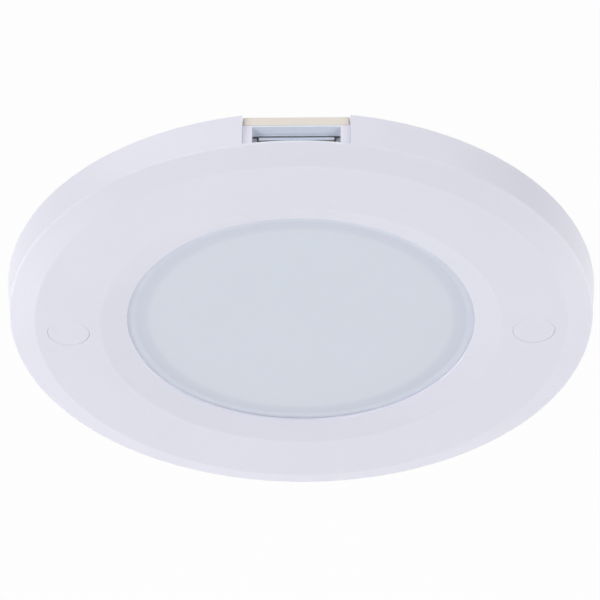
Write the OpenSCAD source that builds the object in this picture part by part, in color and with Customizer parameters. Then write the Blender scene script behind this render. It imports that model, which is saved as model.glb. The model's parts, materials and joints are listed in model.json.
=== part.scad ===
// Slim surface-mounted underwater pool light that hangs on a wall bracket and is let go by a latch bar.
// Sizes are in millimetres. The wall is the plane y = 0, the face looks along -Y and +Z is up.
// Each piece is drawn lying down, with y as up and z as the distance out from the wall,
// and on_wall() then stands it against the wall.

/* [Front cover] */
// Diameter across the front edge of the rim
cover_d = 280; // [250:1:320]
// Growth of the skirt's radius towards the wall
skirt_flare = 1.6; // [0:0.1:2.5]
// Gap between the skirt and the wall
wall_gap = 0.8; // [0.4:0.1:2]
// Wall thickness of the cover
cover_t = 2.6; // [2:0.1:3]
// Width of the bevel round the rim
rim_bevel_w = 12.5; // [8:0.5:14]
// Rise of that bevel
rim_bevel_h = 3.5; // [3:0.1:5]
// Width of the flat face between the bevel and the dish
face_w = 31; // [28:0.5:40]
// Width of the dish round the lens
dish_w = 12.8; // [9:0.1:14]
// Drop of the dish from the face to the lens
dish_drop = 4.2; // [3:0.1:5]
// Radius on the rim's front edge
edge_r = 0.8; // [0.4:0.1:1.2]
// Radius where the face meets its two slopes
blend_r = 3; // [1:0.5:6]
// Thickness of the stiffening ribs inside the rim
rib_t = 1.6; // [1:0.1:2.4]

/* [Notch and latch pocket] */
// Depth of the notch below the skirt's back edge
notch_depth = 5; // [3:0.1:6]
// Side clearance of what sits in the notch
notch_clear = 0.08; // [0.05:0.01:0.4]
// Thickness of the rim's lip in front of the notch
lip_t = 1; // [0.8:0.1:1.6]
// Width of the cheeks beside the finger pocket
cheek_w = 4.3; // [3:0.1:6]
// Thickness of the pocket's rear wall
pocket_wall_t = 0.8; // [0.6:0.1:1.2]
// Height of the pocket's rear wall
pocket_wall_h = 6.6; // [5:0.1:8]
// Thickness of the pocket's front wall
pocket_front_t = 1.2; // [0.8:0.1:1.6]
// Height of the whole pocket moulding
pocket_h = 29.6; // [27:0.1:32]
// Thickness of the pocket's fixing ears
ear_t = 2; // [1.5:0.1:3]

/* [Latch] */
// Length of the latch bar between its guides
bar_l = 33.8; // [30:0.1:40]
// Thickness of the latch bar
bar_t = 2.5; // [2:0.1:3]
// Height of the latch bar
bar_h = 13; // [12:0.1:14]
// Radius on the bar's top edges
bar_edge_r = 0.6; // [0.3:0.1:1]
// Depth of the bar's top below the notch floor
bar_drop = 5.6; // [4.5:0.1:6.5]
// Gap between the pocket's rear wall and the bar
bar_gap = 1; // [0.6:0.1:2]
// Width of the guide at each end of the bar
guide_w = 2; // [1.5:0.05:2.5]
// Gap between the bar's ends and the guides
guide_gap = 0.8; // [0.4:0.05:1.2]
// Running clearance of the bar's tongues in the guides
tongue_clear = 0.15; // [0.1:0.05:0.3]
// Travel of the latch bar when it is pressed
press_travel = 2; // [1:0.1:2.4]
// Width of the catch spring
spring_w = 22; // [16:1:24]
// Thickness of the catch spring
spring_t = 0.8; // [0.5:0.1:1]
// Height of the catch spring's nose behind the bracket's lip
nose_h = 2.5; // [1.5:0.1:3]

/* [Lens] */
// Overlap of the cover's edge over the lens
lens_lap = 5; // [4:0.1:6]
// Thickness of the cover's edge over the lens
dish_lip_t = 1.5; // [1:0.1:1.8]
// Gap between that edge and the lens
lens_drop = 0.2; // [0.1:0.05:0.6]
// Radial gap between the lens flange and the housing
lens_gap = 0.3; // [0.2:0.1:0.8]
// Thickness of the lens
lens_t = 3.4; // [2.8:0.1:4.2]
// Wall thickness of the lens skirt
lens_skirt_t = 1.6; // [1.4:0.1:2]
// Width of the lens flange outside the skirt
lens_flange_w = 2.4; // [2:0.1:4]
// Thickness of the lens flange
lens_flange_t = 2; // [1.6:0.1:2.4]
// Width of the reflector's rim outside the diffuser
reflector_w = 12; // [10:0.1:14]
// Thickness of the diffuser
diffuser_t = 1.2; // [1:0.1:1.5]
// Gap between the lens and the diffuser
diffuser_gap = 0.8; // [0.6:0.1:2]

/* [Sealing] */
// Thickness of the clamp ring
clamp_t = 1.8; // [1.4:0.1:2]
// Number of clamp screws
clamp_screw_n = 8; // [6:1:12]
// Width of the lens gasket
gasket_w = 4; // [3:0.1:4.5]
// Thickness of the lens gasket
gasket_t = 1.2; // [1:0.1:1.6]
// Height of the gasket above its groove
gasket_proud = 0.4; // [0.2:0.1:0.6]

/* [Housing] */
// Gap between the back pan and the wall
pan_gap = 1.2; // [0.6:0.1:1.6]
// Thickness of the pan's floor
floor_t = 2.4; // [2:0.1:3]
// Wall of the collar outside the lens flange
collar_w = 7.6; // [7:0.1:9]
// Thickness of the deck that carries the cover
deck_t = 2.8; // [2.2:0.1:3.2]
// Height of the pads that rest on the bracket
pad_h = 1.8; // [1.6:0.1:2.4]
// Radius of those pads
pad_r = 5; // [4:0.5:6]

/* [Light engine] */
// Thickness of the heat spreader
spreader_t = 1.6; // [1.2:0.1:1.8]
// Thickness of the light board
board_t = 1.6; // [1:0.1:1.8]
// Side of a square light chip
chip_w = 5; // [3:0.5:6]
// Height of a light chip
chip_h = 0.9; // [0.6:0.1:1.2]
// Gap between the rings of driver parts and of chips, centre to centre
chip_clear = 13.5; // [11:0.5:16]
// Height of the driver parts
driver_h = 1.9; // [1.4:0.1:2.1]
// Height of the light chamber between the board and the diffuser
chamber_h = 2.4; // [2.2:0.1:6]

/* [Cable gland] */
// Diameter of the bore for the cable
cable_bore_d = 8; // [6:0.1:9]
// Wall of the rubber seal round the cable
seal_wall = 2.2; // [1.8:0.1:3]
// Wall of the gland's threaded body
spigot_wall = 2.6; // [2:0.1:3.5]
// Length of that body behind the pan
spigot_l = 13.6; // [10:0.1:18]
// Depth of the socket in the pan that holds it
socket_h = 1.2; // [0.8:0.1:1.4]
// Wall of the gland nut
nut_wall = 2.4; // [2:0.1:3]

/* [Caps and fixing screws] */
// Diameter of a screw cap
cap_d = 20; // [18:0.1:22]
// Radial gap round a cap
cap_gap = 0.15; // [0.1:0.01:0.4]
// Thickness of a cap's top
cap_t = 2.4; // [1.6:0.1:3]
// Wall of a cap's skirt
cap_wall = 1.8; // [1.2:0.1:2.4]
// Wall of the recess that holds a cap
boss_wall = 2.2; // [1.6:0.1:2.6]
// Thickness of the ledge under a fixing screw's head
ledge_t = 3; // [2:0.1:3.6]
// Diameter of a fixing screw
fixing_d = 4; // [3.5:0.1:5]
// Diameter of its head
fixing_head_d = 8; // [7:0.1:9]
// Height of its head
fixing_head_h = 2.6; // [2:0.1:3.2]
// Radial clearance of the screws in their holes
hole_clear = 0.3; // [0.2:0.05:0.5]

/* [Wall bracket] */
// Thickness of the bracket at its rims and tab
bracket_t = 4.4; // [4:0.1:5]
// Thickness of the bracket's plate between the rims
plate_t = 2.6; // [2:0.1:3.2]
// Gap between the bracket and the cover's skirt
bracket_clear = 3; // [2:0.1:4]
// Radial clearance of the head's pan in the bracket
pan_clear = 0.4; // [0.3:0.05:1]
// Width of the bracket's rims
bracket_rim_w = 3; // [2:0.1:4]
// Distance of the wall screw holes inside the bracket's outer edge
wall_hole_inset = 18; // [15:0.5:21]
// Number of wall screw holes
wall_hole_n = 4; // [3:1:6]
// Diameter of a wall screw hole
wall_hole_d = 5.5; // [4:0.1:6.5]
// Diameter of the recess for a wall screw's head
wall_head_d = 11; // [9:0.1:12]
// Outer diameter of a brass insert
insert_d = 6.8; // [6.2:0.1:8]
// Length of a brass insert
insert_l = 3.8; // [3:0.1:4]

/* [Hidden] */
$fn = 96;
// Overlap that keeps cuts and joins clean
cut = 0.5;
// Clearance between flat faces that do not bear on each other
face_gap = 0.2;
// Clearance of pressed and screwed pieces in their holes
press_gap = 0.05;
// Half length and half width of a screw's cross recess, as shares of its head's radius
cross_l_share = 0.6;
cross_w_share = 0.16;

// Distances out from the wall: the stack behind the lens sets how far the face stands out
floor_front = pan_gap + floor_t;
spreader_front = floor_front + spreader_t;
board_front = spreader_front + board_t;
diffuser_back = board_front + chamber_h;
diffuser_front = diffuser_back + diffuser_t;
lens_back = diffuser_front + diffuser_gap;
lens_front = lens_back + lens_t;
dish_edge = lens_front + lens_drop + dish_lip_t;
face_front = dish_edge + dish_drop;
face_back = face_front - cover_t;
rim_front = face_front - rim_bevel_h;

// Radii from the rim inwards
rim_r = cover_d / 2;
skirt_back_r = rim_r + skirt_flare;
bevel_in_r = rim_r - rim_bevel_w;
dish_out_r = bevel_in_r - face_w;
dish_in_r = dish_out_r - dish_w;
lens_r = dish_in_r + lens_lap;
lens_in_r = lens_r - lens_skirt_t;
reflector_r = lens_in_r - hole_clear;
diffuser_r = reflector_r - reflector_w;

// Lens flange and its seal
lens_flange_r = lens_r + lens_flange_w;
clamp_front = dish_edge - cover_t - face_gap;
clamp_back = clamp_front - clamp_t;
flange_front = clamp_back;
flange_back = flange_front - lens_flange_t;
gasket_back = flange_back - gasket_t;
seat_front = flange_back - gasket_proud;
gasket_mid_r = (lens_in_r + lens_flange_r) / 2;
gasket_out_r = gasket_mid_r + gasket_w / 2;
gasket_in_r = gasket_mid_r - gasket_w / 2;
groove_land = 1.5;

// Housing
collar_in_r = lens_flange_r + lens_gap;
collar_r = collar_in_r + collar_w;
collar_front = clamp_back - face_gap;
pan_in_r = gasket_in_r - groove_land;
deck_back = bracket_t + pad_h;
deck_front = deck_back + deck_t;
pan_rib_n = 12;
pan_rib_t = 1.8;
pan_rib_h = pan_gap / 2;
clamp_circle_r = (collar_in_r + collar_r) / 2;
clamp_screw_r = 1.4;
clamp_head_r = 2.8;
clamp_head_h = 1.7;
clamp_screw_l = 5;

// Light engine
wire_clear = 1;
spreader_r = pan_in_r - hole_clear;
board_r = spreader_r - hole_clear;
reflector_lip = 2;
reflector_foot = 4;
reflector_body_r = pan_in_r - hole_clear;
bezel_w = 0.8;
bezel_t = 0.3;
core_hole_r = cable_bore_d / 2 + wire_clear;
board_hole_r = core_hole_r + wire_clear;
terminal_clear = 5;
driver_clear = 15;
terminal_circle_r = board_hole_r + terminal_clear;
part_circle_r = board_hole_r + driver_clear;
coil_r = 3.2;
rectifier_size = [5, 6];
control_size = [4, 5];
terminal_size = [4, 6];
chip_rings = 3;
chips_per_ring = 6;
chip_in_r = part_circle_r + chip_clear;
chip_out_r = diffuser_r - reflector_lip - chip_w - hole_clear;
chip_pitch = (chip_out_r - chip_in_r) / (chip_rings - 1);

// Cable gland, behind the pan
seal_r = cable_bore_d / 2 + seal_wall;
spigot_bore_r = seal_r + press_gap;
spigot_r = spigot_bore_r + spigot_wall;
spigot_end = pan_gap - spigot_l;
socket_front = pan_gap + socket_h;
nut_cover_share = 0.7;
nut_front = spigot_end + spigot_l * nut_cover_share;
nut_wall_front = spigot_end - face_gap;
nut_back = nut_wall_front - nut_wall;
nut_r = spigot_r + press_gap + nut_wall;
nut_hex_r = nut_r / cos(30);
nut_hole_r = core_hole_r;
nut_hex_share = 0.7;
spanner_gap = 4;
pan_rib_in_r = nut_hex_r + spanner_gap;

// Caps and fixing screws
cap_r = cap_d / 2;
cap_hole_r = cap_r + cap_gap;
boss_r = cap_hole_r + boss_wall;
boss_gap = 0.55;
cap_circle_r = collar_r + boss_r + boss_gap;
deck_r = cap_circle_r + boss_r + boss_wall;
ledge_front = deck_front + ledge_t;
fixing_r = fixing_d / 2;
fixing_hole_r = fixing_r + hole_clear;
fixing_tip = bracket_t - insert_l;
retainer_w = 2.2;
retainer_front = deck_back - face_gap;
retainer_back = bracket_t + face_gap;

// Cover screws, driven from behind through the deck
cover_screw_angles = [22.5, 157.5, 202.5, 337.5];
rib_deck_gap = 2;
cover_screw_r = 1.5;
cover_post_r = 4;
cover_screw_head_r = 3;
cover_screw_head_h = pad_h - face_gap;
cover_screw_gap = 1.5;
cover_screw_tip = face_back - cover_screw_gap;

// Wall bracket
bracket_r = skirt_back_r - cover_t - bracket_clear;
bracket_in_r = collar_r + pan_clear;
wall_hole_angle = 45;
wall_circle_r = bracket_r - wall_hole_inset;
wall_hole_r = wall_hole_d / 2;
wall_head_r = wall_head_d / 2;
insert_r = insert_d / 2;
insert_bore_r = fixing_r + press_gap * 2;
insert_boss_wall = 4;
bracket_rib_n = 24;
bracket_rib_t = 1.8;
pad_angles = [60, 120, 240, 300];
pad_margin = 1;

// Notch, tab and pocket: the bar and its guides set their widths
bar_half = bar_l / 2;
guide_half = bar_half + guide_gap;
pocket_half = guide_half + guide_w;
seat_half = pocket_half + cheek_w;
notch_half = seat_half + notch_clear;
tab_top = skirt_back_r - notch_depth;
tab_corner_r = 1.2;
notch_front = rim_front - lip_t;
pocket_back = bracket_t + face_gap;
pocket_inner_back = pocket_back + pocket_wall_t;
pocket_front = notch_front - face_gap;
pocket_inner_front = pocket_front - pocket_front_t;
pocket_bottom = tab_top - pocket_h;
wall_foot = tab_top - pocket_wall_h;
foot_h = 0.6;
foot_t = 0.2;
block_t = 3;
block_back = pocket_front - block_t;
ear_l = 9;
ear_h = 10;
ear_screw_x = seat_half + ear_l / 2;
ear_screw_y = pocket_bottom + ear_h / 2;
ear_screw_r = 1.4;
ear_head_r = 2.6;
ear_head_h = 1.6;

// Latch bar, guides and catch spring
bar_back = pocket_inner_back + bar_gap;
bar_front = bar_back + bar_t;
bar_mid = (bar_back + bar_front) / 2;
bar_top = tab_top - bar_drop;
bar_bottom = bar_top - bar_h;
guide_rise = 2;
guide_drop = 1.4;
guide_top = bar_top - guide_drop;
guide_bottom = bar_bottom + guide_rise;
tongue_step = 0.6;
groove_cap = 3;
groove_t = bar_t - 2 * tongue_step;
groove_half = (guide_half + pocket_half) / 2;
groove_top = bar_top - groove_cap;
tongue_t = groove_t - 2 * tongue_clear;
tongue_half = groove_half - tongue_clear;
tongue_top = groove_top - tongue_clear;
arm_top = bar_bottom;
arm_bottom = arm_top - spring_t;
leg_front = block_back;
leg_back = leg_front - spring_t;
leg_margin = 0.5;
leg_bottom = pocket_bottom + leg_margin;
lip_front_t = 1.8;
nose_gap = 0.4;
nose_front = bracket_t - lip_front_t - nose_gap;
nose_back = nose_front - spring_t;
lip_rise = 2;
catch_y = arm_top + lip_rise;
window_clear = 2;
window_half = spring_w / 2 + window_clear;
lever_ratio = 2;
window_bottom = arm_bottom - window_clear - press_travel * lever_ratio;
window_web = 4;
spring_screw_x = spring_w / 4;
spring_screw_y = (leg_bottom + arm_bottom) / 2;
spring_screw_r = 1.2;
spring_head_r = 2.2;
spring_head_h = 1.3;
spring_screw_l = 2.4;

// Shared shapes

function unit(v) = v / norm(v);

// Points of the arc of radius r that rounds the corner p between its neighbours a and b
function fillet(p, a, b, r, steps) =
    let (
        u = unit(a - p),
        w = unit(b - p),
        half = acos(u * w) / 2,
        centre = p + unit(u + w) * r / sin(half),
        from = p + u * r / tan(half) - centre,
        to = p + w * r / tan(half) - centre,
        start = atan2(from[1], from[0]),
        turn = atan2(to[1], to[0]) - start,
        sweep = turn > 180 ? turn - 360 : turn < -180 ? turn + 360 : turn
    )
    [for (i = [0:steps]) centre + r * [cos(start + sweep * i / steps), sin(start + sweep * i / steps)]];

function xy(p) = [p[0], p[1]];

// Outline from corners [x, y, radius], with each corner of radius above 0 rounded
function rounded(corners, steps = 4) =
    let (n = len(corners))
    [for (i = [0:n - 1])
        let (before = xy(corners[(i + n - 1) % n]), here = xy(corners[i]), after = xy(corners[(i + 1) % n]))
        each corners[i][2] > 0 ? fillet(here, before, after, corners[i][2], steps) : [here]];

module on_wall() {
    rotate([90, 0, 0]) children();
}

module disc(r, back, front) {
    translate([0, 0, min(back, front)]) cylinder(r = r, h = abs(front - back));
}

module ring(r, hole_r, back, front) {
    difference() {
        disc(r, back, front);
        disc(hole_r, back - cut, front + cut);
    }
}

module block(left, right, bottom, top, back, front) {
    translate([left, bottom, back]) cube([right - left, top - bottom, front - back]);
}

// A straight rib along x from radius near to radius far
module spoke(near, far, width, back, front) {
    block(near, far, -width / 2, width / 2, back, front);
}

module at_polar(r, angles) {
    for (a = angles) rotate([0, 0, a]) translate([r, 0, 0]) children();
}

module both_sides() {
    children();
    mirror([1, 0, 0]) children();
}

function evenly(n, start = 0) = [for (i = [0:n - 1]) start + i * 360 / n];

// An outline of y against distance from the wall, drawn across x from -half to half
module across(half, outline) {
    rotate([90, 0, 90]) translate([0, 0, -half]) linear_extrude(2 * half) polygon(outline);
}

// Pan-head screw from its tip to the plane its head bears on, with a cross recess in the head
module screw(r, head_r, head_h, seat, tip) {
    outward = sign(seat - tip);
    middle = seat + outward * head_h / 2;
    cross = head_r * [cross_l_share, cross_w_share];
    difference() {
        union() {
            disc(r, tip, middle);
            disc(head_r, seat, seat + outward * head_h);
        }
        translate([0, 0, middle + outward * head_h / 2]) for (a = [0, 90]) rotate([0, 0, a])
            cube([2 * cross[0], 2 * cross[1], head_h], center = true);
    }
}

// Wall bracket

module bracket_tab() {
    linear_extrude(bracket_t) polygon(rounded([
        [-seat_half, window_bottom - window_web, 0],
        [seat_half, window_bottom - window_web, 0],
        [seat_half, tab_top, tab_corner_r],
        [-seat_half, tab_top, tab_corner_r]
    ]));
}

module catch_window() {
    block(-window_half, window_half, window_bottom, catch_y, -cut, bracket_t + cut);
    block(-window_half, window_half, catch_y - cut, catch_y + nose_h + window_clear,
        -cut, bracket_t - lip_front_t);
}

module wall_bracket() {
    color("wheat") on_wall() difference() {
        union() {
            ring(bracket_r, bracket_in_r, 0, plate_t);
            ring(bracket_r, bracket_r - bracket_rim_w, 0, bracket_t);
            ring(bracket_in_r + bracket_rim_w, bracket_in_r, 0, bracket_t);
            for (a = evenly(bracket_rib_n, 180 / bracket_rib_n)) rotate([0, 0, a])
                spoke(bracket_in_r + cut, bracket_r - cut, bracket_rib_t, 0, bracket_t);
            at_polar(cap_circle_r, [0, 180]) disc(insert_r + insert_boss_wall, 0, bracket_t);
            at_polar(cap_circle_r, pad_angles) disc(pad_r + pad_margin, 0, bracket_t);
            at_polar(wall_circle_r, evenly(wall_hole_n, wall_hole_angle)) wall_boss();
            bracket_tab();
        }
        at_polar(cap_circle_r, [0, 180]) disc(insert_r + press_gap, -cut, bracket_t + cut);
        at_polar(wall_circle_r, evenly(wall_hole_n, wall_hole_angle)) wall_hole();
        catch_window();
    }
}

module wall_boss() {
    disc(wall_head_r + bracket_rib_t, 0, bracket_t);
}

module wall_hole() {
    disc(wall_hole_r, -cut, bracket_t);
    disc(wall_head_r, plate_t, bracket_t + cut);
}

module bracket_inserts() {
    color("goldenrod") on_wall() at_polar(cap_circle_r, [0, 180])
        ring(insert_r, insert_bore_r, bracket_t - insert_l, bracket_t);
}

// Front cover

module cover_shell() {
    rotate_extrude() polygon(rounded([
        [skirt_back_r - cover_t, wall_gap, 0],
        [skirt_back_r, wall_gap, edge_r / 2],
        [rim_r, rim_front, edge_r],
        [bevel_in_r, face_front, blend_r],
        [dish_out_r, face_front, blend_r],
        [dish_in_r, dish_edge, edge_r / 2],
        [dish_in_r, dish_edge - dish_lip_t, 0],
        [dish_out_r, face_back, 0],
        [bevel_in_r, face_back, 0],
        [rim_r - cover_t, rim_front - cover_t, 0]
    ]));
}

// One gusset between the skirt and the bevel
module cover_rib() {
    rotate([90, 0, 0]) linear_extrude(rib_t, center = true) polygon([
        [rim_r - cover_t * 0.6, deck_front + rib_deck_gap],
        [rim_r - cover_t * 0.6, rim_front - cover_t * 0.4],
        [bevel_in_r, face_back + cover_t * 0.4]
    ]);
}

// Whether a rib at this angle would stand in the notch
function in_notch(angle) = sin(angle) > 0 && rim_r * abs(cos(angle)) < notch_half + rib_t;

module front_cover() {
    rib_angles = [for (a = evenly(bracket_rib_n, 180 / bracket_rib_n)) if (!in_notch(a)) a];
    color("white") on_wall() difference() {
        union() {
            cover_shell();
            for (a = rib_angles) rotate([0, 0, a]) cover_rib();
            at_polar(cap_circle_r, [0, 180]) disc(boss_r, deck_front, face_back + cover_t / 2);
            at_polar(cap_circle_r, cover_screw_angles)
                disc(cover_post_r, deck_front, face_back + cover_t / 2);
        }
        at_polar(cap_circle_r, [0, 180]) {
            disc(cap_hole_r, ledge_front, face_front + cut);
            disc(fixing_hole_r, deck_front - cut, ledge_front + cut);
        }
        at_polar(cap_circle_r, cover_screw_angles)
            disc(cover_screw_r + press_gap, deck_front - cut, cover_screw_tip + cut);
        block(-notch_half, notch_half, bar_bottom, skirt_back_r + cut, 0, notch_front);
    }
}

// Screws that hold the cover, with their heads on the back of the deck
module cover_screws() {
    color("silver") on_wall() at_polar(cap_circle_r, cover_screw_angles)
        screw(cover_screw_r, cover_screw_head_r, cover_screw_head_h, deck_back, cover_screw_tip);
}

// Lens, diffuser and seal

module lens() {
    color("lightblue", 0.5) on_wall() rotate_extrude() polygon(rounded([
        [0, lens_back, 0],
        [lens_in_r, lens_back, 0],
        [lens_in_r, flange_back, 0],
        [lens_flange_r, flange_back, 0],
        [lens_flange_r, flange_front, 0],
        [lens_r, flange_front, 0],
        [lens_r, lens_front, edge_r],
        [0, lens_front, 0]
    ]));
}

module diffuser() {
    color("aliceblue") on_wall() disc(diffuser_r, diffuser_back, diffuser_front);
}

module lens_gasket() {
    color("whitesmoke") on_wall() ring(gasket_out_r, gasket_in_r, gasket_back, flange_back);
}

module clamp_ring() {
    color("gainsboro") on_wall() difference() {
        ring(collar_r, lens_r + hole_clear, clamp_back, clamp_front);
        at_polar(clamp_circle_r, evenly(clamp_screw_n, 180 / clamp_screw_n))
            disc(clamp_screw_r + hole_clear, clamp_back - cut, clamp_front + cut);
    }
}

module clamp_screws() {
    color("silver") on_wall() at_polar(clamp_circle_r, evenly(clamp_screw_n, 180 / clamp_screw_n))
        screw(clamp_screw_r, clamp_head_r, clamp_head_h, clamp_front, collar_front - clamp_screw_l);
}

// Housing

module pan() {
    rotate_extrude() polygon(rounded([
        [0, pan_gap, 0],
        [collar_r, pan_gap, edge_r],
        [collar_r, collar_front, 0],
        [collar_in_r, collar_front, 0],
        [collar_in_r, seat_front, 0],
        [gasket_out_r + face_gap, seat_front, 0],
        [gasket_out_r + face_gap, gasket_back, 0],
        [gasket_in_r - face_gap, gasket_back, 0],
        [gasket_in_r - face_gap, seat_front, 0],
        [pan_in_r, seat_front, 0],
        [pan_in_r, floor_front, 0],
        [0, floor_front, 0]
    ]));
}

// Low ribs on the back of the pan, round the gland and out to the collar
module pan_ribs() {
    ring(pan_rib_in_r + pan_rib_t, pan_rib_in_r, pan_gap - pan_rib_h, pan_gap + cut);
    for (a = evenly(pan_rib_n)) rotate([0, 0, a])
        spoke(pan_rib_in_r + cut, collar_in_r, pan_rib_t, pan_gap - pan_rib_h, pan_gap + cut);
}

module housing() {
    color("whitesmoke") on_wall() difference() {
        union() {
            pan();
            ring(deck_r, collar_r - cut, deck_back, deck_front);
            at_polar(cap_circle_r, pad_angles) disc(pad_r, bracket_t, deck_back + cut);
            pan_ribs();
        }
        disc(spigot_r + press_gap, pan_gap - cut, socket_front);
        disc(core_hole_r, pan_gap, floor_front + cut);
        at_polar(clamp_circle_r, evenly(clamp_screw_n, 180 / clamp_screw_n))
            disc(clamp_screw_r + press_gap, collar_front - clamp_screw_l - cut, collar_front + cut);
        at_polar(cap_circle_r, [0, 180]) disc(fixing_hole_r, deck_back - cut, deck_front + cut);
        at_polar(cap_circle_r, cover_screw_angles)
            disc(cover_screw_r + hole_clear, deck_back - cut, deck_front + cut);
        block(-notch_half, notch_half, pocket_bottom - notch_clear, deck_r + cut,
            deck_back - cut, deck_front + cut);
        both_sides() translate([ear_screw_x, ear_screw_y, 0])
            disc(ear_screw_r + press_gap, deck_back - cut, deck_front + cut);
    }
}

// Light engine

module heat_spreader() {
    color("silver") on_wall() ring(spreader_r, core_hole_r, floor_front, spreader_front);
}

module led_board() {
    color("ghostwhite") on_wall() ring(board_r, board_hole_r, spreader_front, board_front);
}

module led_chips() {
    color("lemonchiffon") on_wall() for (k = [0:chip_rings - 1])
        at_polar(chip_in_r + k * chip_pitch, evenly(chips_per_ring * (k + 2)))
            block(-chip_w / 2, chip_w / 2, -chip_w / 2, chip_w / 2, board_front, board_front + chip_h);
}

// A block that stands on the light board
module board_part(size) {
    block(-size[0] / 2, size[0] / 2, -size[1] / 2, size[1] / 2, board_front, board_front + driver_h);
}

// Coils and, between them, the rectifier and control blocks
module driver_parts() {
    color("darkslategray") on_wall() {
        at_polar(part_circle_r, [45, 225]) disc(coil_r, board_front, board_front + driver_h);
        at_polar(part_circle_r, [0, 180]) board_part(rectifier_size);
        at_polar(part_circle_r, [135, 315]) board_part(control_size);
    }
}

module wire_terminals() {
    color("white") on_wall() at_polar(terminal_circle_r, [90, 270]) board_part(terminal_size);
}

// White bowl with a groove that the diffuser snaps into and a rim from there out to the lens skirt
module reflector() {
    color("white") on_wall() rotate_extrude() polygon([
        [reflector_body_r - reflector_foot, board_front],
        [reflector_body_r, board_front],
        [reflector_body_r, seat_front + face_gap],
        [reflector_r, seat_front + face_gap],
        [reflector_r, lens_back - face_gap],
        [diffuser_r - bezel_w, diffuser_front + bezel_t],
        [diffuser_r - bezel_w, diffuser_front],
        [diffuser_r + hole_clear, diffuser_front],
        [diffuser_r + hole_clear, diffuser_back],
        [diffuser_r - reflector_lip, diffuser_back]
    ]);
}

// Cable gland

// Threaded tube that is bonded into the pan's socket
module gland_body() {
    color("gainsboro") on_wall() ring(spigot_r, spigot_bore_r, spigot_end, socket_front);
}

module gland_seal() {
    color("dimgray") on_wall() ring(seal_r, cable_bore_d / 2, nut_wall_front, socket_front);
}

module gland_nut() {
    color("gainsboro") on_wall() difference() {
        union() {
            translate([0, 0, nut_back])
                cylinder(r = nut_hex_r, h = (nut_front - nut_back) * nut_hex_share, $fn = 6);
            disc(nut_r, nut_back, nut_front);
        }
        disc(spigot_r + press_gap, nut_wall_front, nut_front + cut);
        disc(nut_hole_r, nut_back - cut, nut_wall_front + cut);
    }
}

// Fixing screws and caps

module fixing_screws() {
    color("silver") on_wall() at_polar(cap_circle_r, [0, 180])
        screw(fixing_r, fixing_head_d / 2, fixing_head_h, ledge_front, fixing_tip);
}

module screw_retainers() {
    color("white") on_wall() at_polar(cap_circle_r, [0, 180])
        ring(fixing_r + retainer_w, fixing_r + press_gap, retainer_back, retainer_front);
}

module screw_cap() {
    rotate_extrude() polygon(rounded([
        [0, face_front - cap_t, 0],
        [cap_r - cap_wall, face_front - cap_t, 0],
        [cap_r - cap_wall, ledge_front, 0],
        [cap_r, ledge_front, 0],
        [cap_r, face_front, edge_r / 4],
        [0, face_front, 0]
    ]));
}

module screw_cap_left() {
    color("white") on_wall() translate([-cap_circle_r, 0, 0]) screw_cap();
}

module screw_cap_right() {
    color("white") on_wall() translate([cap_circle_r, 0, 0]) screw_cap();
}

// Latch

// Open-topped finger pocket: cheeks, a thin rear wall with a thicker foot, a front wall
// and the block that holds the spring
module latch_pocket() {
    color("white") on_wall() difference() {
        union() {
            both_sides() block(pocket_half, seat_half, pocket_bottom, tab_top, pocket_back, pocket_front);
            block(-seat_half, seat_half, wall_foot, tab_top, pocket_back, pocket_inner_back);
            block(-seat_half, seat_half, wall_foot, wall_foot + foot_h,
                pocket_back, pocket_inner_back + foot_t);
            block(-seat_half, seat_half, pocket_bottom, tab_top, pocket_inner_front, pocket_front);
            block(-seat_half, seat_half, pocket_bottom, arm_bottom - face_gap, block_back, pocket_front);
            both_sides() block(seat_half - cut, seat_half + ear_l, pocket_bottom, pocket_bottom + ear_h,
                deck_front, deck_front + ear_t);
        }
        both_sides() translate([ear_screw_x, ear_screw_y, 0])
            disc(ear_screw_r + hole_clear, deck_front - cut, deck_front + ear_t + cut);
        both_sides() translate([spring_screw_x, spring_screw_y, 0])
            disc(spring_screw_r + press_gap, block_back - cut, block_back + spring_screw_l + face_gap);
    }
}

module latch_screws() {
    color("silver") on_wall() both_sides() translate([ear_screw_x, ear_screw_y, 0])
        screw(ear_screw_r, ear_head_r, ear_head_h, deck_front + ear_t, deck_back);
}

// Pressed bar with rounded top edges and a tongue at each end
module latch_bar() {
    color("silver") on_wall() {
        across(bar_half, rounded([
            [bar_bottom, bar_back, 0],
            [bar_top, bar_back, bar_edge_r],
            [bar_top, bar_front, bar_edge_r],
            [bar_bottom, bar_front, 0]
        ]));
        block(-tongue_half, tongue_half, bar_bottom, tongue_top,
            bar_mid - tongue_t / 2, bar_mid + tongue_t / 2);
    }
}

module latch_guides() {
    color("gray") on_wall() both_sides() difference() {
        block(guide_half, pocket_half, guide_bottom, guide_top, bar_back, bar_front);
        block(guide_half - cut, groove_half, guide_bottom - cut, groove_top,
            bar_mid - groove_t / 2, bar_mid + groove_t / 2);
    }
}

// Bent strip: a leg on the pocket's block, an arm under the bar and a nose behind the bracket's lip
module catch_spring() {
    color("silver") on_wall() difference() {
        across(spring_w / 2, [
            [leg_bottom, leg_back],
            [leg_bottom, leg_front],
            [arm_top, leg_front],
            [arm_top, nose_front],
            [catch_y + nose_h, nose_front],
            [catch_y + nose_h, nose_front - spring_t / 2],
            [arm_bottom, nose_back],
            [arm_bottom, leg_back]
        ]);
        both_sides() translate([spring_screw_x, spring_screw_y, 0])
            disc(spring_screw_r + hole_clear, leg_back - cut, leg_front + cut);
    }
}

// Screws that hold the spring's leg, with their heads towards the wall
module spring_screws() {
    color("silver") on_wall() both_sides() translate([spring_screw_x, spring_screw_y, 0])
        screw(spring_screw_r, spring_head_r, spring_head_h, leg_back, block_back + spring_screw_l);
}

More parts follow.
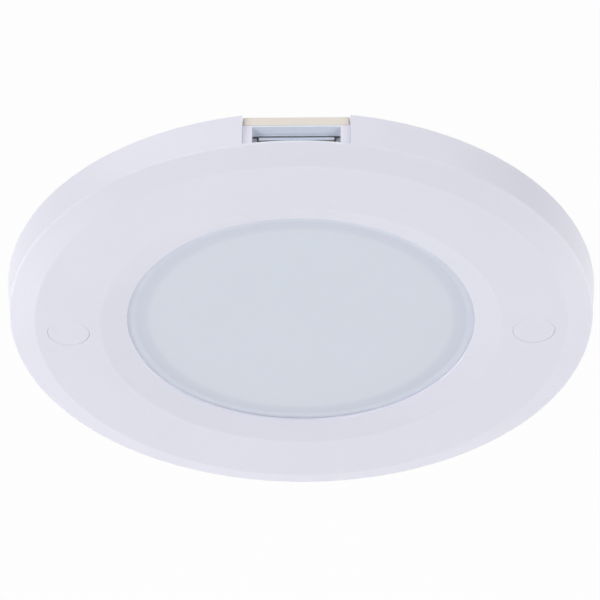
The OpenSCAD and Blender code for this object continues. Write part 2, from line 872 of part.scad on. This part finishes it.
wall_bracket();
bracket_inserts();
front_cover();
lens();
diffuser();
lens_gasket();
clamp_ring();
clamp_screws();
housing();
heat_spreader();
led_board();
led_chips();
driver_parts();
wire_terminals();
reflector();
gland_body();
gland_seal();
gland_nut();
cover_screws();
fixing_screws();
screw_retainers();
screw_cap_left();
screw_cap_right();
latch_pocket();
latch_screws();
latch_bar();
latch_guides();
catch_spring();
spring_screws();
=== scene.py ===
"""Looks of the underwater pool light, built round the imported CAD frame. Lengths are in metres."""
import json
import math

import bmesh
import bpy
from mathutils import Matrix, Vector


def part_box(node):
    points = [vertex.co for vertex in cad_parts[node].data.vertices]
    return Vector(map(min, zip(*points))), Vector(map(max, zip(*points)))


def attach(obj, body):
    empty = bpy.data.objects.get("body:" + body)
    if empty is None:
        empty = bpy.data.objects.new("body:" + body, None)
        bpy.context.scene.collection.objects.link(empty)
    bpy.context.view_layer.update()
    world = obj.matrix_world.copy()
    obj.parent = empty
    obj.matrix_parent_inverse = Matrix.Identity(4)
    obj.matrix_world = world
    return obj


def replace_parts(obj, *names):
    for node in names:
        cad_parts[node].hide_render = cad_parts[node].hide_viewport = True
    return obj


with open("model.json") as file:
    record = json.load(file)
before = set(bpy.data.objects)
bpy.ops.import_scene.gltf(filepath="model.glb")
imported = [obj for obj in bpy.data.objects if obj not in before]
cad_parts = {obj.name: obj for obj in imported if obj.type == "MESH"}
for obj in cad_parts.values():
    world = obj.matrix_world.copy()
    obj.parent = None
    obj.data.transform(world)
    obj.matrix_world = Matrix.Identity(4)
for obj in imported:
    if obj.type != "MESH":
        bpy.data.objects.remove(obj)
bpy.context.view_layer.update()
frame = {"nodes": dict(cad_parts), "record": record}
MM = 0.001

# Camera, fitted to the photograph: it looks down on the light, which hangs on its wall
IMAGE_PX = 600
FOCAL_PX = 2943.9
SENSOR_W = 36.0
ELEVATION = math.radians(54.01)
DISTANCE = 1.4
CLIP_END = 100
AIM = Vector((-0.5 * MM, -17.0 * MM, 21.1 * MM))
# Turn of the photographed light about its own axis, and roll of the picture
FACE_TURN = math.radians(1.05)
ROLL = math.radians(-0.28)

# Stage
FLOOR_Z = -0.8
FLOOR_HALF = 30.0
FLOOR_COLOR = (0.95, 0.95, 0.96, 1)
FLOOR_ROUGHNESS = 0.9
# Share of plain white in the floor where it is seen
FLOOR_WHITE = 0.93
WORLD_COLOR = (1, 1, 1, 1)
WORLD_LIGHT = 0.22
LAMP_SIZE = 0.8
# Name, place and watts of each lamp
LAMPS = (
    ("front_left", (-0.8, -0.7, 1.0), 8.5),
    ("front_right", (0.8, -0.7, 1.0), 6.6),
    ("low_left", (-0.85, -0.35, -0.6), 6.6),
    ("low_right", (0.85, -0.35, -0.6), 5.9),
    ("left_back", (-0.9, 0.7, 0.6), 2.7),
    ("right_back", (0.9, 0.7, 0.6), 1.9),
    ("top_back", (0.0, 0.5, 1.3), 1.7),
    ("behind", (0.0, 1.3, 0.1), 5.0),
)

# Part of the noise's range that the materials use
NOISE_LOW = 0.3
NOISE_HIGH = 0.7

# Plastics. Scales are those of the noise, and spreads are shares either side of a value.
CLOUD_SPREAD = 0.01
CLOUD_SCALE = 16.0
CLOUD_DETAIL = 1.0
GLOSS_SPREAD = 0.15
GLOSS_SCALE = 160.0
SKIN_DETAIL = 2.0

# Latch pocket: half way between its cheeks, width of the edge of its painted cool shade, scale of its clouds
POCKET_HALF = 19.5 * MM
POCKET_BLEND = 0.2 * MM
POCKET_CLOUD_SCALE = 30.0

# Metals. The lines are long in x, and they vary the colour and the roughness by these factors.
LINE_STRETCH = (0.04, 1.0, 1.0)
LINE_DETAIL = 2.0
LINE_DARK = 0.9
LINE_LIGHT = 1.05
LINE_SMOOTH = 0.8
LINE_ROUGH = 1.25
# Shares of the latch bar's half depth over which its colour turns to the painted shade of its rounded edges
BAR_SHADE_START = 0.3
BAR_SHADE_FULL = 0.8

# Lens. Its colour turns to painted shade between the rim radii, and the clearness of its front between the
# edge radii.
LENS_IOR = 1.4
LENS_RIM_START = 71.5 * MM
LENS_RIM_FULL = 75.5 * MM
LENS_EDGE_START = 78.5 * MM
LENS_EDGE_FULL = 82.5 * MM
LENS_CLEARNESS = 0.25
LENS_EDGE_CLEARNESS = 0.05
LENS_FROST_DEPTH = 1.0 * MM
LENS_GLOSS_SPREAD = 0.5
LENS_GLOSS_SCALE = 60.0
LENS_WAVE_SCALE = 14.0
LENS_WAVE_DEPTH = 0.02 * MM
LENS_WAVE_STRENGTH = 0.4


def srgb(r, g, b):
    """Linear colour of an 8-bit screen colour."""
    def linear(v):
        v /= 255
        return v / 12.92 if v <= 0.04045 else ((v + 0.055) / 1.055) ** 2.4
    return (linear(r), linear(g), linear(b), 1.0)


def shade(color, factor):
    return (color[0] * factor, color[1] * factor, color[2] * factor, 1.0)


def either_side(value, spread):
    """The value less and more by a share of itself."""
    return value * (1 - spread), value * (1 + spread)


class Nodes:
    """Short calls that add and join the nodes of one material."""

    def __init__(self, name):
        self.material = bpy.data.materials.new(name)
        self.material.use_nodes = True
        self.tree = self.material.node_tree
        self.shader = self.tree.nodes["Principled BSDF"]
        self.place = self.add("ShaderNodeTexCoord").outputs["Object"]

    def add(self, kind, inputs=None, **settings):
        node = self.tree.nodes.new(kind)
        for key, value in settings.items():
            setattr(node, key, value)
        for key, value in (inputs or {}).items():
            if isinstance(value, bpy.types.NodeSocket):
                self.tree.links.new(value, node.inputs[key])
            else:
                node.inputs[key].default_value = value
        return node

    def feed(self, output, socket):
        """Joins an output to one of the shader's sockets."""
        self.tree.links.new(output, self.shader.inputs[socket])

    def set(self, **values):
        """Constant values, straight on the shader's own sockets."""
        for key, value in values.items():
            self.shader.inputs[key.replace("_", " ")].default_value = value

    def stretched(self, factors):
        return self.add("ShaderNodeMapping", {"Vector": self.place, "Scale": factors}).outputs["Vector"]

    def noise(self, scale, detail=3.0, where=None):
        inputs = {"Vector": where or self.place, "Scale": scale, "Detail": detail}
        return self.add("ShaderNodeTexNoise", inputs, normalize=True).outputs["Fac"]

    def spread(self, factor, low, high):
        """The used part of a noise, stretched to low to high."""
        return self.add("ShaderNodeMapRange", {
            "Value": factor, "From Min": NOISE_LOW, "From Max": NOISE_HIGH, "To Min": low, "To Max": high,
        }).outputs["Result"]

    def two_tone(self, factor, dark, light):
        """The used part of a noise, turned to colours from dark to light."""
        ramp = self.add("ShaderNodeValToRGB", {"Fac": factor})
        ends = ((NOISE_LOW, dark), (NOISE_HIGH, light))
        for element, (position, color) in zip(ramp.color_ramp.elements, ends):
            element.position = position
            element.color = color
        return ramp.outputs["Color"]

    def part_way(self, value, start, end, low=0.0, high=1.0):
        """Low up to start, high from end on, and a soft change between."""
        return self.add("ShaderNodeMapRange", {
            "Value": value, "From Min": start, "From Max": end, "To Min": low, "To Max": high,
        }, interpolation_type="SMOOTHSTEP").outputs["Result"]

    def along(self, axis):
        return self.add("ShaderNodeSeparateXYZ", {"Vector": self.place}).outputs[axis]

    def away(self, axis, middle=0.0):
        """Distance along the axis from a place on it."""
        shift = self.add("ShaderNodeMath", {0: self.along(axis), 1: middle}, operation="SUBTRACT")
        return self.add("ShaderNodeMath", {0: shift.outputs["Value"]}, operation="ABSOLUTE").outputs["Value"]

    def radius(self):
        """Distance from the light's axis."""
        flat = self.add("ShaderNodeVectorMath", {0: self.place, 1: (1.0, 0.0, 1.0)}, operation="MULTIPLY")
        size = self.add("ShaderNodeVectorMath", {0: flat.outputs["Vector"]}, operation="LENGTH")
        return size.outputs["Value"]

    def mix(self, factor, first, second):
        return self.add("ShaderNodeMix", {0: factor, 6: first, 7: second}, data_type="RGBA").outputs[2]

    def bump(self, height, depth, strength=1.0):
        bump = self.add("ShaderNodeBump", {"Height": height, "Distance": depth, "Strength": strength})
        self.feed(bump.outputs["Normal"], "Normal")


def clouded(n, clouds, color):
    return n.two_tone(clouds, shade(color, 1 - CLOUD_SPREAD), shade(color, 1 + CLOUD_SPREAD))


def add_skin(n, gloss, grain, depth):
    """Uneven gloss and a fine skin of the given grain size."""
    n.feed(n.spread(n.noise(GLOSS_SCALE), *either_side(gloss, GLOSS_SPREAD)), "Roughness")
    n.bump(n.noise(1.0 / grain, SKIN_DETAIL), depth)


def moulded(name, color, gloss, grain, depth):
    """Moulded plastic with a faint clouding of its colour."""
    n = Nodes(name)
    n.feed(clouded(n, n.noise(CLOUD_SCALE, CLOUD_DETAIL), color), "Base Color")
    add_skin(n, gloss, grain, depth)
    return n.material


def pocket_with_painted_shade(name, painted_cool_shade, cheeks, gloss, grain, depth):
    """Moulded plastic of the latch pocket, with painted cool shade between its two cheeks."""
    n = Nodes(name)
    clouds = n.noise(POCKET_CLOUD_SCALE)
    outside = n.part_way(n.away("X"), POCKET_HALF - POCKET_BLEND, POCKET_HALF)
    # The inside's bluer tone is painted cool shade, the tint of light reflected into the recess
    n.feed(n.mix(outside, clouded(n, clouds, painted_cool_shade), clouded(n, clouds, cheeks)), "Base Color")
    add_skin(n, gloss, grain, depth)
    return n.material


def lined(n, streaks, color):
    return n.two_tone(streaks, shade(color, LINE_DARK), shade(color, LINE_LIGHT))


def metal(name, color, roughness, lines, depth, painted_edge_shade=None):
    """Bare metal with fine lines along x. The latch bar's rounded edges are darkened with painted shade."""
    n = Nodes(name)
    n.set(Metallic=1.0)
    streaks = n.noise(1.0 / lines, LINE_DETAIL, n.stretched(LINE_STRETCH))
    base = lined(n, streaks, color)
    if painted_edge_shade:
        front, back = (corner[1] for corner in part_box("latch_bar"))
        half = (back - front) / 2
        outward = n.part_way(n.away("Y", front + half), half * BAR_SHADE_START, half * BAR_SHADE_FULL)
        # Painted shade: the bar's rounded edges darken where they would mirror the dark gap below
        base = n.mix(outward, base, lined(n, streaks, painted_edge_shade))
    n.feed(base, "Base Color")
    n.feed(n.spread(streaks, roughness * LINE_SMOOTH, roughness * LINE_ROUGH), "Roughness")
    n.bump(streaks, depth)
    return n.material


def lens_plastic(name, color, rim_painted_shade, front, roughness):
    """Clear moulding with a faintly wavy surface. Its front is frosted and a little darker near the rim, as
    painted shade.
    """
    n = Nodes(name)
    n.set(IOR=LENS_IOR)
    outside = n.part_way(n.radius(), LENS_RIM_START, LENS_RIM_FULL)
    # The rim colour is painted shade, standing in for the shaded shoulder seen through the lens
    n.feed(n.mix(outside, color, rim_painted_shade), "Base Color")
    clear = n.part_way(n.radius(), LENS_EDGE_START, LENS_EDGE_FULL, LENS_CLEARNESS, LENS_EDGE_CLEARNESS)
    n.feed(n.part_way(n.along("Y"), front, front + LENS_FROST_DEPTH, clear), "Transmission Weight")
    n.feed(n.spread(n.noise(LENS_GLOSS_SCALE), *either_side(roughness, LENS_GLOSS_SPREAD)), "Roughness")
    n.bump(n.noise(LENS_WAVE_SCALE), LENS_WAVE_DEPTH, LENS_WAVE_STRENGTH)
    return n.material


# The cover's plastic, shared by the pocket's cheeks: colour, then roughness, grain size and grain depth
COVER_WHITE = srgb(232, 232, 244)
COVER_SKIN = (0.34, 0.5 * MM, 0.004 * MM)
# After the colour come the roughness, the size of the grain or lines and their depth, except for the lens
MATERIALS = {
    "white_cover": moulded("white_cover", COVER_WHITE, *COVER_SKIN),
    # The pocket's inside colour is painted cool shade, bluer than the cover's white
    "pocket_white_painted_shade": pocket_with_painted_shade("pocket_white_painted_shade", srgb(231, 238, 248), COVER_WHITE, *COVER_SKIN),
    "cream_plastic": moulded("cream_plastic", srgb(232, 225, 216), 0.5, 0.4 * MM, 0.02 * MM),
    # The lens's second colour is painted shade on its rim
    "clear_lens": lens_plastic(
        "clear_lens", srgb(240, 246, 255), srgb(233, 238, 251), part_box("lens")[0][1], 0.02,
    ),
    "frosted_diffuser": moulded("frosted_diffuser", srgb(248, 251, 255), 0.55, 0.4 * MM, 0.01 * MM),
    "seal_rubber": moulded("seal_rubber", srgb(52, 52, 54), 0.65, 0.3 * MM, 0.02 * MM),
    "white_silicone": moulded("white_silicone", srgb(232, 234, 236), 0.6, 0.3 * MM, 0.015 * MM),
    "white_housing": moulded("white_housing", srgb(232, 232, 236), 0.4, 0.4 * MM, 0.012 * MM),
    "stainless_steel": metal("stainless_steel", srgb(180, 185, 195), 0.38, 0.2 * MM, 0.004 * MM),
    # The latch bar's second, dark colour is painted shade on its rounded edges
    "bar_steel_painted_shade": metal("bar_steel_painted_shade", srgb(225, 230, 238), 0.38, 0.2 * MM, 0.004 * MM, srgb(105, 108, 116)),
    "spreader_aluminium": metal("spreader_aluminium", srgb(216, 218, 220), 0.35, 0.3 * MM, 0.004 * MM),
    "brass": metal("brass", srgb(212, 178, 106), 0.36, 0.2 * MM, 0.004 * MM),
    "white_board": moulded("white_board", srgb(236, 236, 232), 0.35, 0.4 * MM, 0.006 * MM),
    "light_chip": moulded("light_chip", srgb(244, 224, 120), 0.35, 0.3 * MM, 0.006 * MM),
    "dark_component": moulded("dark_component", srgb(44, 44, 48), 0.45, 0.2 * MM, 0.01 * MM),
    "white_reflector": moulded("white_reflector", srgb(248, 251, 255), 0.5, 0.4 * MM, 0.01 * MM),
    "grey_nylon": moulded("grey_nylon", srgb(184, 186, 192), 0.42, 0.3 * MM, 0.015 * MM),
}


def dress_nodes():
    """Gives each node its record slot's material. The bar and the pocket have materials of their own, with
    painted shade.
    """
    slots = {part["node"]: part["material_slot"] for part in frame["record"]["subparts"]}
    slots.update(latch_bar="bar_steel_painted_shade", latch_pocket="pocket_white_painted_shade")
    for node, obj in frame["nodes"].items():
        for slot in obj.material_slots:
            slot.material = MATERIALS[slots[node]]


# Fine shapes. Their sizes are in millimetres, and out is the distance from the wall.
SHARP_ANGLE = math.radians(40)
AXIS = (0.0, 0.0)


def box_mm(node):
    low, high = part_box(node)
    return Vector(low) / MM, Vector(high) / MM


def at_angle(centre, radius, angle, out):
    """Point in metres on a circle about an axis that stands on the wall at centre (x, z)."""
    x = centre[0] + radius * math.cos(angle)
    z = centre[1] + radius * math.sin(angle)
    return (x * MM, -out * MM, z * MM)


def turn(mesh, profile, centre=AXIS, steps=48):
    """Closed turned form. The profile is a closed loop of (radius, out), and radius 0 lies on the axis."""
    rings = []
    for radius, out in profile:
        count = steps if radius else 1
        angles = [2 * math.pi * i / steps for i in range(count)]
        rings.append([mesh.verts.new(at_angle(centre, radius, angle, out)) for angle in angles])
    for a, b in zip(rings, rings[1:] + rings[:1]):
        for i in range(steps):
            j = (i + 1) % steps
            corners = dict.fromkeys((a[i % len(a)], a[j % len(a)], b[j % len(b)], b[i % len(b)]))
            if len(corners) > 2:
                mesh.faces.new(list(corners))


def thread(mesh, radius, height, pitch, near, far, centre=AXIS, steps=32):
    """Helical ridge on a shaft between two distances from the wall, running out to nothing at both ends."""
    sink = 0.05
    flank = 0.4 * pitch
    fade_steps = steps / 2
    count = round((far - near) / pitch * steps)
    sections = []
    for i in range(count + 1):
        fade = min(1.0, i / fade_steps, (count - i) / fade_steps)
        angle = 2 * math.pi * i / steps
        out = near + pitch * i / steps
        corners = ((radius - sink, out - flank), (radius + height * fade, out), (radius - sink, out + flank))
        sections.append([mesh.verts.new(at_angle(centre, r, angle, o)) for r, o in corners])
    for a, b in zip(sections, sections[1:]):
        for k in range(3):
            mesh.faces.new((a[k], a[(k + 1) % 3], b[(k + 1) % 3], b[k]))
    mesh.faces.new(sections[0])
    mesh.faces.new(sections[-1])


def ridges(mesh, radius, height, near, far, count):
    """Straight grip ridges round a collar, each a low roof with sloped ends."""
    sink = 0.1
    taper = 0.5
    width_share = 0.6
    half = math.pi / count * width_share
    for i in range(count):
        angle = 2 * math.pi * i / count
        foot = [(radius - sink, angle + side * half, out) for out in (near, far) for side in (-1, 1)]
        top = [(radius + height, angle, near + taper), (radius + height, angle, far - taper)]
        v = [mesh.verts.new(at_angle(AXIS, r, a, o)) for r, a, o in foot + top]
        for face in ((0, 1, 4), (3, 2, 5), (1, 3, 5, 4), (2, 0, 4, 5), (0, 2, 3, 1)):
            mesh.faces.new([v[k] for k in face])


def as_object(name, mesh):
    bmesh.ops.recalc_face_normals(mesh, faces=mesh.faces)
    data = bpy.data.meshes.new(name)
    mesh.to_mesh(data)
    mesh.free()
    obj = bpy.data.objects.new(name, data)
    bpy.context.scene.collection.objects.link(obj)
    return obj


def add_piece(name, mesh, slot, body):
    """Finished mesh as an object in a record slot's material, riding a body."""
    obj = as_object(name, mesh)
    obj.data.materials.append(MATERIALS[slot])
    obj.data.shade_smooth()
    obj.data.set_sharp_from_angle(angle=SHARP_ANGLE)
    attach(obj, body)
    return obj


def cut_away(solid, cutter):
    """Mesh of solid with cutter taken out of it."""
    body = as_object("cut_body", solid)
    tool = as_object("cut_tool", cutter)
    cut = body.modifiers.new("cut", "BOOLEAN")
    cut.object = tool
    cut.operation = "DIFFERENCE"
    cut.solver = "EXACT"
    result = bmesh.new()
    result.from_object(body, bpy.context.evaluated_depsgraph_get())
    for obj in (body, tool):
        bpy.data.objects.remove(obj)
    return result


def add_gland_details():
    """Thread on the gland's body, grip on its nut and a rounded lip on its rubber seal."""
    gland_r = box_mm("gland_body")[1].x
    seal_end = -box_mm("gland_seal")[1].y
    nut_low, nut_high = box_mm("gland_nut")
    nut_front = -nut_low.y
    pan_back = 1.2
    pitch = 1.2
    thread_h = 0.5
    body = bmesh.new()
    thread(body, gland_r, thread_h, pitch, nut_front - pitch / 2, pan_back - 0.4 * pitch)
    add_piece("gland_thread", body, "grey_nylon", "head")
    # The nut is a hexagon for part of its length and then a round collar as wide as its flats
    hex_share = 0.7
    collar_r = nut_high.z
    collar_back = -nut_high.y + hex_share * (nut_high.y - nut_low.y)
    grip_h = 0.4
    grip_count = 40
    nut = bmesh.new()
    ridges(nut, collar_r, grip_h, collar_back + 0.3, nut_front - 0.4, grip_count)
    add_piece("gland_nut_grip", nut, "grey_nylon", "head")
    bore_r = 4.0
    lip_r = 0.45
    lip_steps = 12
    turns = [2 * math.pi * i / lip_steps for i in range(lip_steps)]
    seal = bmesh.new()
    turn(seal, [(bore_r + lip_r * (1 + math.cos(t)), seal_end + lip_r * math.sin(t)) for t in turns])
    add_piece("gland_seal_lip", seal, "seal_rubber", "head")


def cross_blade(mesh, centre, top, bottom, long_x):
    """One blade of a cross recess, which narrows with depth."""
    # Half length and half width at the blade's top and at its bottom
    top_size = (2.4, 0.7)
    bottom_size = (1.0, 0.35)
    rings = []
    for out, (length, width) in ((top, top_size), (bottom, bottom_size)):
        x, z = (length, width) if long_x else (width, length)
        rings.append([mesh.verts.new(((centre + i * x) * MM, -out * MM, j * z * MM))
                      for i, j in ((-1, -1), (1, -1), (1, 1), (-1, 1))])
    for i in range(4):
        j = (i + 1) % 4
        mesh.faces.new((rings[0][i], rings[0][j], rings[1][j], rings[1][i]))
    for ring in rings:
        mesh.faces.new(ring)


def add_fixing_screws():
    """The two captive screws, with domed cross-recessed heads and threaded ends."""
    low, high = box_mm("fixing_screws")
    top = -low.y
    tip = -high.y
    head_r = 4.0
    head_h = 2.6
    seat = top - head_h
    seat_bevel = 0.15
    # Share of the head's radius and drop below its top, from the middle of the dome outward
    dome = ((0.0, 0.0), (0.5, 0.08), (0.78, 0.35), (0.94, 0.8), (1.0, 1.4))
    recess_above = 0.5
    recess_depth = 1.5
    shank_r = 2.0
    relief = 0.3
    root_r = shank_r - relief
    run_out = 5.8
    tip_bevel = 0.5
    point = tip + 0.6
    thread_h = 0.28
    thread_pitch = 0.7
    thread_gap = 0.5
    profile = [(share * head_r, top - drop) for share, drop in dome] + [
        (head_r, seat + seat_bevel), (head_r - seat_bevel, seat), (shank_r, seat), (shank_r, run_out),
        (root_r, run_out - relief), (root_r, point), (root_r - tip_bevel, tip), (0.0, tip),
    ]
    centres = (low.x + head_r, high.x - head_r)
    heads = bmesh.new()
    crosses = bmesh.new()
    for x in centres:
        turn(heads, profile, (x, 0.0))
        for long_x in (True, False):
            cross_blade(crosses, x, top + recess_above, top - recess_depth, long_x)
    screws = cut_away(heads, crosses)
    for x in centres:
        thread(screws, root_r, thread_h, thread_pitch, point, run_out - thread_gap, (x, 0.0))
    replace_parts(add_piece("fixing_screws_threaded", screws, "stainless_steel", "head"), "fixing_screws")


def white_where_seen(tree, lit):
    """Factor that is 1 for rays that show the background, and lit for those that only carry light."""
    path = tree.nodes.new("ShaderNodeLightPath")
    total = path.outputs["Is Camera Ray"]
    for ray in ("Is Glossy Ray", "Is Transmission Ray"):
        larger = tree.nodes.new("ShaderNodeMath")
        larger.operation = "MAXIMUM"
        tree.links.new(total, larger.inputs[0])
        tree.links.new(path.outputs[ray], larger.inputs[1])
        total = larger.outputs["Value"]
    scaled = tree.nodes.new("ShaderNodeMapRange")
    scaled.inputs["To Min"].default_value = lit
    tree.links.new(total, scaled.inputs["Value"])
    return scaled.outputs["Result"]


def make_world():
    world = bpy.data.worlds.new("studio")
    bpy.context.scene.world = world
    world.use_nodes = True
    background = world.node_tree.nodes["Background"]
    background.inputs["Color"].default_value = WORLD_COLOR
    strength = white_where_seen(world.node_tree, WORLD_LIGHT)
    world.node_tree.links.new(strength, background.inputs["Strength"])


def make_floor():
    """Pale floor, nearly plain white where it is seen, with a trace of the object's shadow left in it."""
    mesh = bpy.data.meshes.new("floor")
    h = FLOOR_HALF
    corners = [(-h, -h, FLOOR_Z), (h, -h, FLOOR_Z), (h, h, FLOOR_Z), (-h, h, FLOOR_Z)]
    mesh.from_pydata(corners, [], [(0, 1, 2, 3)])
    floor = bpy.data.objects.new("floor", mesh)
    bpy.context.scene.collection.objects.link(floor)
    material = bpy.data.materials.new("floor_paper")
    material.use_nodes = True
    tree = material.node_tree
    shader = tree.nodes["Principled BSDF"]
    shader.inputs["Base Color"].default_value = FLOOR_COLOR
    shader.inputs["Roughness"].default_value = FLOOR_ROUGHNESS
    glow = tree.nodes.new("ShaderNodeEmission")
    mix = tree.nodes.new("ShaderNodeMixShader")
    seen = white_where_seen(tree, 0.0)
    part = tree.nodes.new("ShaderNodeMath")
    part.operation = "MULTIPLY"
    part.inputs[1].default_value = FLOOR_WHITE
    tree.links.new(seen, part.inputs[0])
    tree.links.new(part.outputs["Value"], mix.inputs["Fac"])
    tree.links.new(shader.outputs["BSDF"], mix.inputs[1])
    tree.links.new(glow.outputs["Emission"], mix.inputs[2])
    tree.links.new(mix.outputs["Shader"], tree.nodes["Material Output"].inputs["Surface"])
    mesh.materials.append(material)


def add_lamp(name, at, watts):
    """Soft square lamp that faces the light."""
    data = bpy.data.lights.new(name, "AREA")
    data.shape = "SQUARE"
    data.size = LAMP_SIZE
    data.energy = watts
    lamp = bpy.data.objects.new(name, data)
    lamp.location = at
    lamp.rotation_mode = "QUATERNION"
    lamp.rotation_quaternion = (-Vector(at)).to_track_quat("-Z", "Y")
    bpy.context.scene.collection.objects.link(lamp)


def make_camera():
    forward = Vector((0, math.cos(ELEVATION), -math.sin(ELEVATION)))
    up = Vector((0, math.sin(ELEVATION), math.cos(ELEVATION)))
    right = Vector((1, 0, 0))
    turned = Matrix.Rotation(FACE_TURN, 3, "Y")
    side = turned @ (right * math.cos(ROLL) - up * math.sin(ROLL))
    top = turned @ (right * math.sin(ROLL) + up * math.cos(ROLL))
    ahead = turned @ forward
    place = turned @ (AIM - forward * DISTANCE)
    data = bpy.data.cameras.new("camera")
    data.sensor_width = SENSOR_W
    data.lens = FOCAL_PX / IMAGE_PX * SENSOR_W
    data.clip_end = CLIP_END
    camera = bpy.data.objects.new("camera", data)
    axes = Matrix((side, top, -ahead)).transposed()
    camera.matrix_world = Matrix.Translation(place) @ axes.to_4x4()
    bpy.context.scene.collection.objects.link(camera)
    bpy.context.scene.camera = camera


bpy.context.scene.view_settings.view_transform = "Standard"
make_camera()
make_world()
make_floor()
for lamp_values in LAMPS:
    add_lamp(*lamp_values)
dress_nodes()
add_gland_details()
add_fixing_screws()
